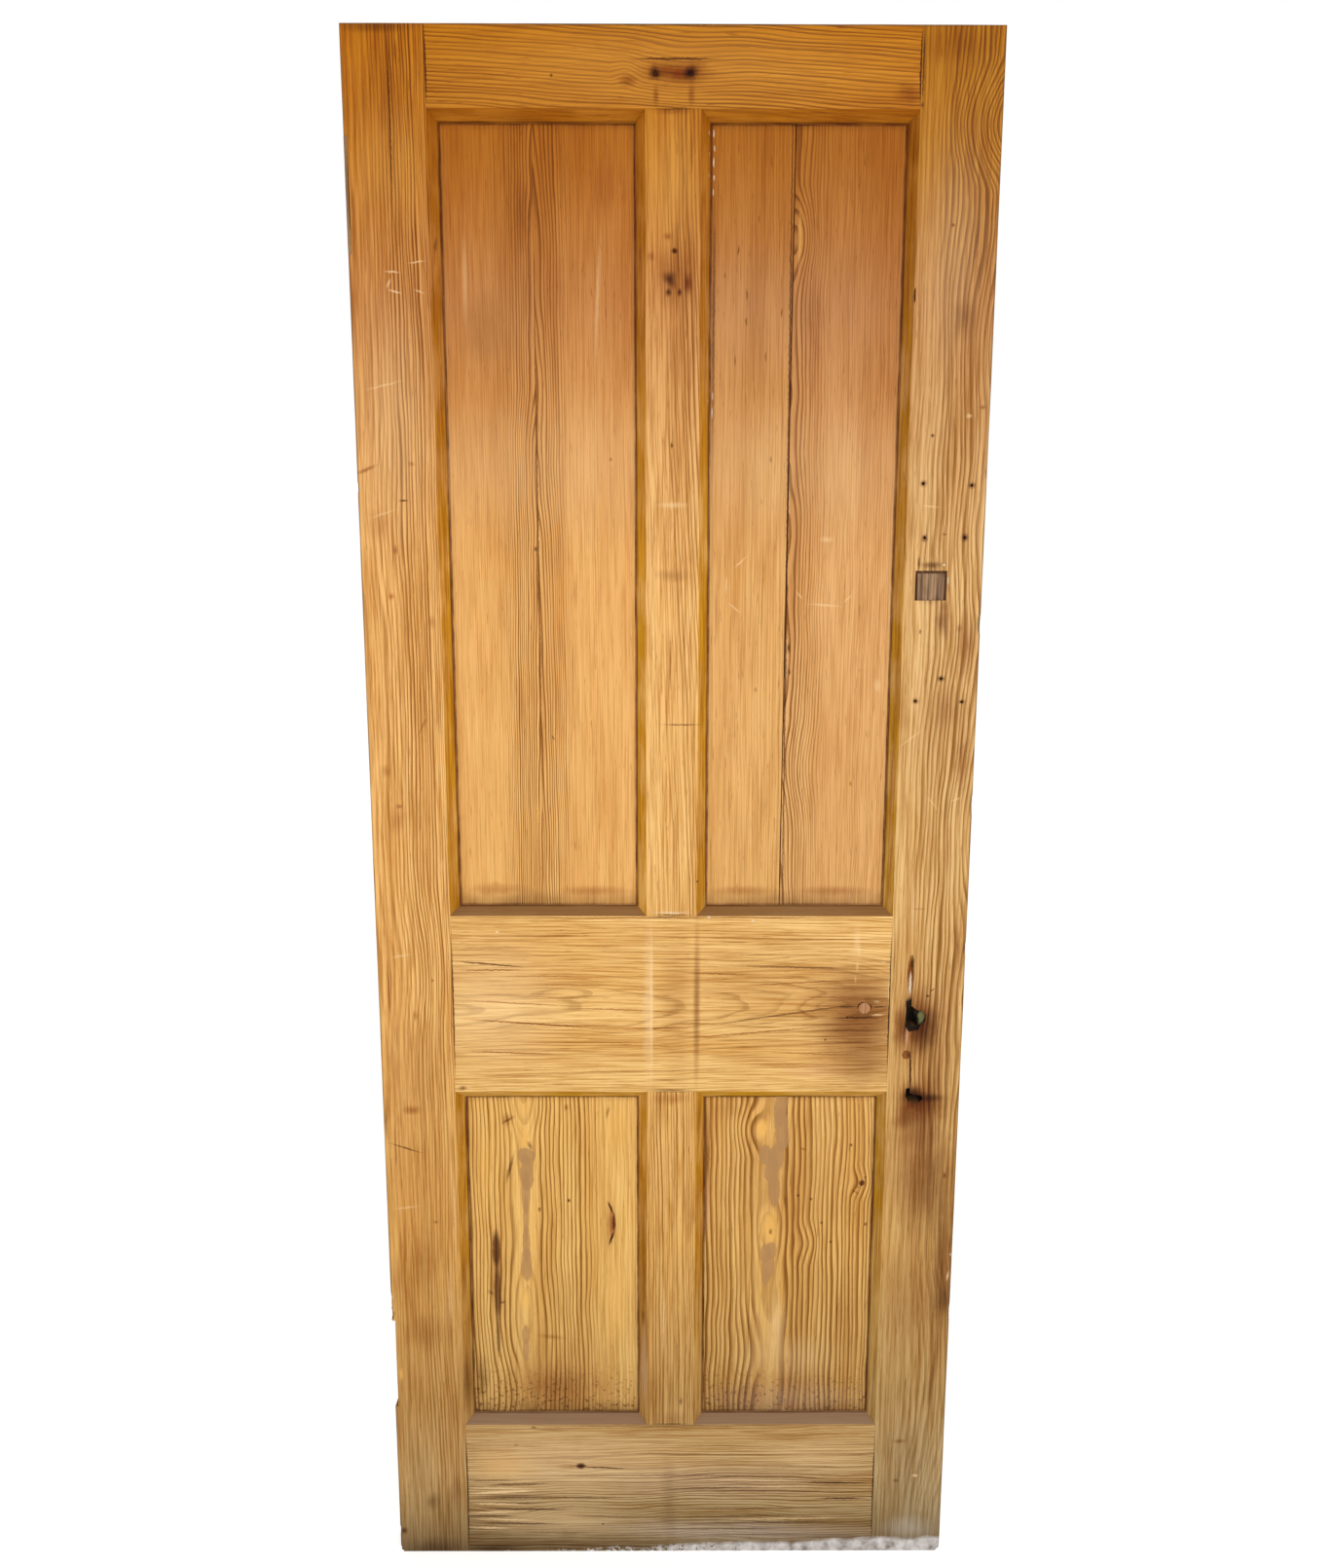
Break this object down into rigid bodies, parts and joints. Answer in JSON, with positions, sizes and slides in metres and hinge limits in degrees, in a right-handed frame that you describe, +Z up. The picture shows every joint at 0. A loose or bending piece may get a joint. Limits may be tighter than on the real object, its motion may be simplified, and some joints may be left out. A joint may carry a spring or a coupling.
{
  "type": "solid wood interior door leaf",
  "caption": "Old stripped pine interior door leaf with chamfered framing, sunk panels and an old spindle hole and keyhole.",
  "frame": {"origin": "middle of the leaf's foot, midway through its thickness", "axes": "+Z up the leaf, +Y from the pictured front face through to the back, +X from the hinge edge towards the lock edge"},
  "size_m": [0.762, 0.0382, 1.981],
  "materials": {
    "pine_stiles": "satin wax, worn",
    "pine_rails_and_muntins": "satin wax, worn",
    "pine_panels": "satin wax",
    "pine_wedges": "end grain, dull",
    "old_repair_wood": "bare, dull"
  },
  "bodies": {
    "root": {"hinge_stile": "pine_stiles", "lock_stile": "pine_stiles", "top_rail": "pine_rails_and_muntins", "lock_rail": "pine_rails_and_muntins", "bottom_rail": "pine_rails_and_muntins", "upper_muntin": "pine_rails_and_muntins", "lower_muntin": "pine_rails_and_muntins", "upper_left_outer_board": "pine_panels", "upper_left_inner_board": "pine_panels", "upper_right_inner_board": "pine_panels", "upper_right_outer_board": "pine_panels", "lower_left_panel": "pine_panels", "lower_right_panel": "pine_panels", "hinge_recess_slip": "old_repair_wood", "square_plug": "old_repair_wood", "round_plug": "old_repair_wood", "top_rail_left_wedge_1": "pine_wedges", "top_rail_left_wedge_2": "pine_wedges", "top_rail_right_wedge_1": "pine_wedges", "top_rail_right_wedge_2": "pine_wedges", "lock_rail_left_wedge_1": "pine_wedges", "lock_rail_left_wedge_2": "pine_wedges", "lock_rail_left_wedge_3": "pine_wedges", "lock_rail_left_wedge_4": "pine_wedges", "lock_rail_right_wedge_1": "pine_wedges", "lock_rail_right_wedge_2": "pine_wedges", "lock_rail_right_wedge_3": "pine_wedges", "lock_rail_right_wedge_4": "pine_wedges", "bottom_rail_left_wedge_1": "pine_wedges", "bottom_rail_left_wedge_2": "pine_wedges", "bottom_rail_left_wedge_3": "pine_wedges", "bottom_rail_left_wedge_4": "pine_wedges", "bottom_rail_right_wedge_1": "pine_wedges", "bottom_rail_right_wedge_2": "pine_wedges", "bottom_rail_right_wedge_3": "pine_wedges", "bottom_rail_right_wedge_4": "pine_wedges"}
  },
  "joints": []
}
